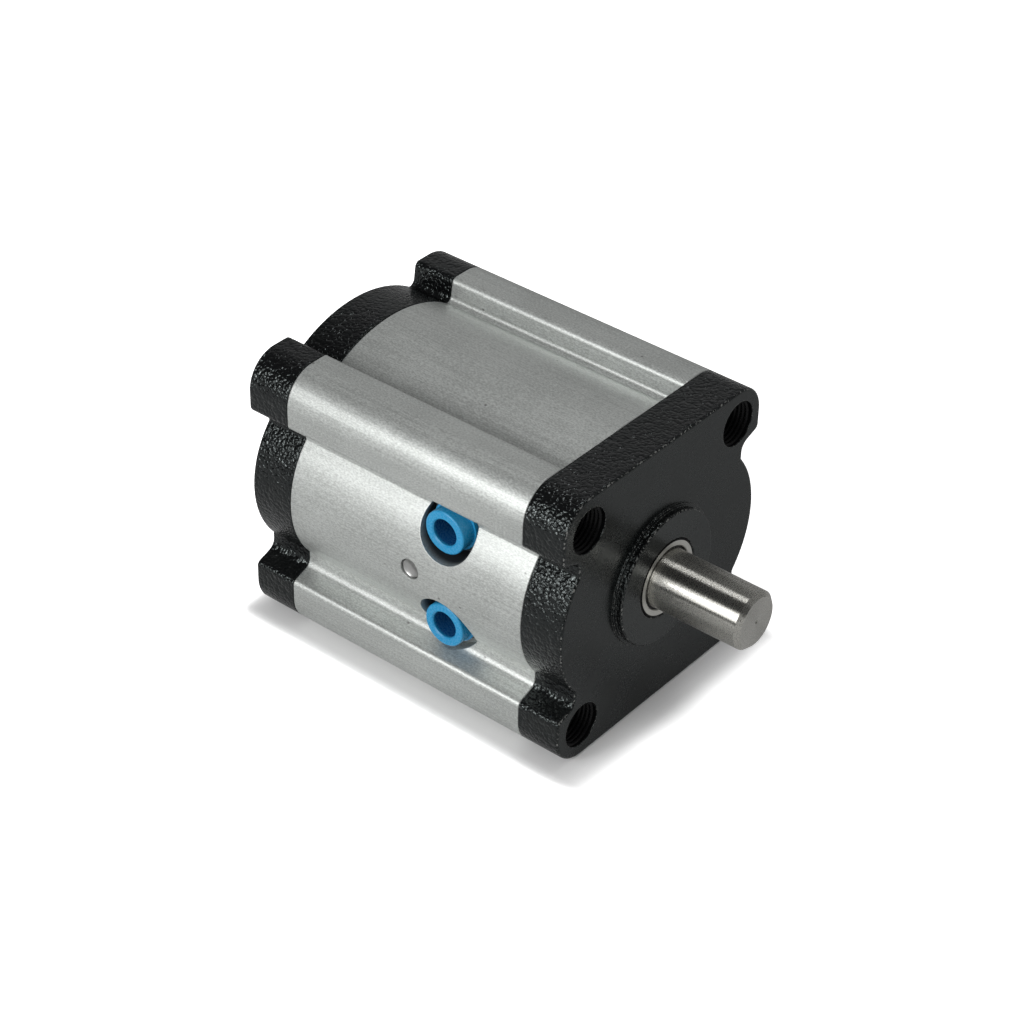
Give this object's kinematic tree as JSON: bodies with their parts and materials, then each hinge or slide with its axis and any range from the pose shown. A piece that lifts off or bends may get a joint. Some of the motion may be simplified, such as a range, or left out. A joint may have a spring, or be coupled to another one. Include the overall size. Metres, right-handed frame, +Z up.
{
  "type": "compact pneumatic cylinder",
  "caption": "Compact double-acting pneumatic cylinder: lobed aluminium barrel between black end caps, plain round piston rod, corner bolt holes and blue push-in air fittings.",
  "frame": {"origin": "centre of the front bolt pattern, on the rod axis in the front mounting face", "axes": "+X out along the rod, +Z up, air ports on the -Y side"},
  "size_m": [0.1102, 0.066, 0.066],
  "materials": {
    "anodised_aluminium": "satin anodised extrusion",
    "black_coating": "black wrinkle coat, smooth machined faces",
    "black_steel": "black oxide",
    "plain_steel": "bright",
    "spring_steel": "bright",
    "ground_steel": "ground and polished",
    "light_metal_ring": "satin",
    "bearing_bronze": "sintered",
    "black_rubber": "matte",
    "machined_aluminium": "turned",
    "guide_plastic": "matte",
    "plated_brass": "nickel plated",
    "blue_plastic": "moulded, semi-gloss"
  },
  "bodies": {
    "housing": {"barrel": "anodised_aluminium", "front_cap": "black_coating", "rear_cap": "black_coating", "front_screw_1": "black_steel", "front_screw_2": "black_steel", "front_screw_3": "black_steel", "front_screw_4": "black_steel", "rear_screw_1": "black_steel", "rear_screw_2": "black_steel", "rear_screw_3": "black_steel", "rear_screw_4": "black_steel", "cross_plug": "plain_steel", "seal_retainer": "plain_steel", "upper_grip_ring": "spring_steel", "lower_grip_ring": "spring_steel", "wiper_case": "light_metal_ring", "rod_bush": "bearing_bronze", "wiper_lip": "black_rubber", "rod_seal": "black_rubber", "front_cap_seal": "black_rubber", "rear_cap_seal": "black_rubber", "front_gallery_seal": "black_rubber", "rear_gallery_seal": "black_rubber", "upper_port_o_ring": "black_rubber", "upper_tube_seal": "black_rubber", "lower_port_o_ring": "black_rubber", "lower_tube_seal": "black_rubber", "upper_fitting_body": "plated_brass", "lower_fitting_body": "plated_brass"},
    "piston_seals": {"front_piston_seal": "black_rubber", "rear_piston_seal": "black_rubber", "guide_ring": "guide_plastic"},
    "rod": {"rod": "ground_steel", "rod_o_ring": "black_rubber", "piston": "machined_aluminium", "front_bumper": "black_rubber", "rear_bumper": "black_rubber", "piston_washer": "plain_steel", "piston_screw": "black_steel"},
    "upper_sleeve": {"upper_release_sleeve": "blue_plastic"},
    "lower_sleeve": {"lower_release_sleeve": "blue_plastic"}
  },
  "joints": [
    {"name": "rod_slide", "type": "slide", "parent": "housing", "child": "piston_seals", "axis": [1, 0, 0], "range_m": [0, 0.03]},
    {"name": "rod_turn", "type": "hinge", "parent": "piston_seals", "child": "rod", "pos_m": [0, 0, 0], "axis": [1, 0, 0], "continuous": true},
    {"name": "upper_sleeve_press", "type": "slide", "parent": "housing", "child": "upper_sleeve", "axis": [0, 1, 0], "range_m": [0, 0.0008], "stiffness_N_per_m": 1500},
    {"name": "lower_sleeve_press", "type": "slide", "parent": "housing", "child": "lower_sleeve", "axis": [0, 1, 0], "range_m": [0, 0.0008], "stiffness_N_per_m": 1500}
  ]
}
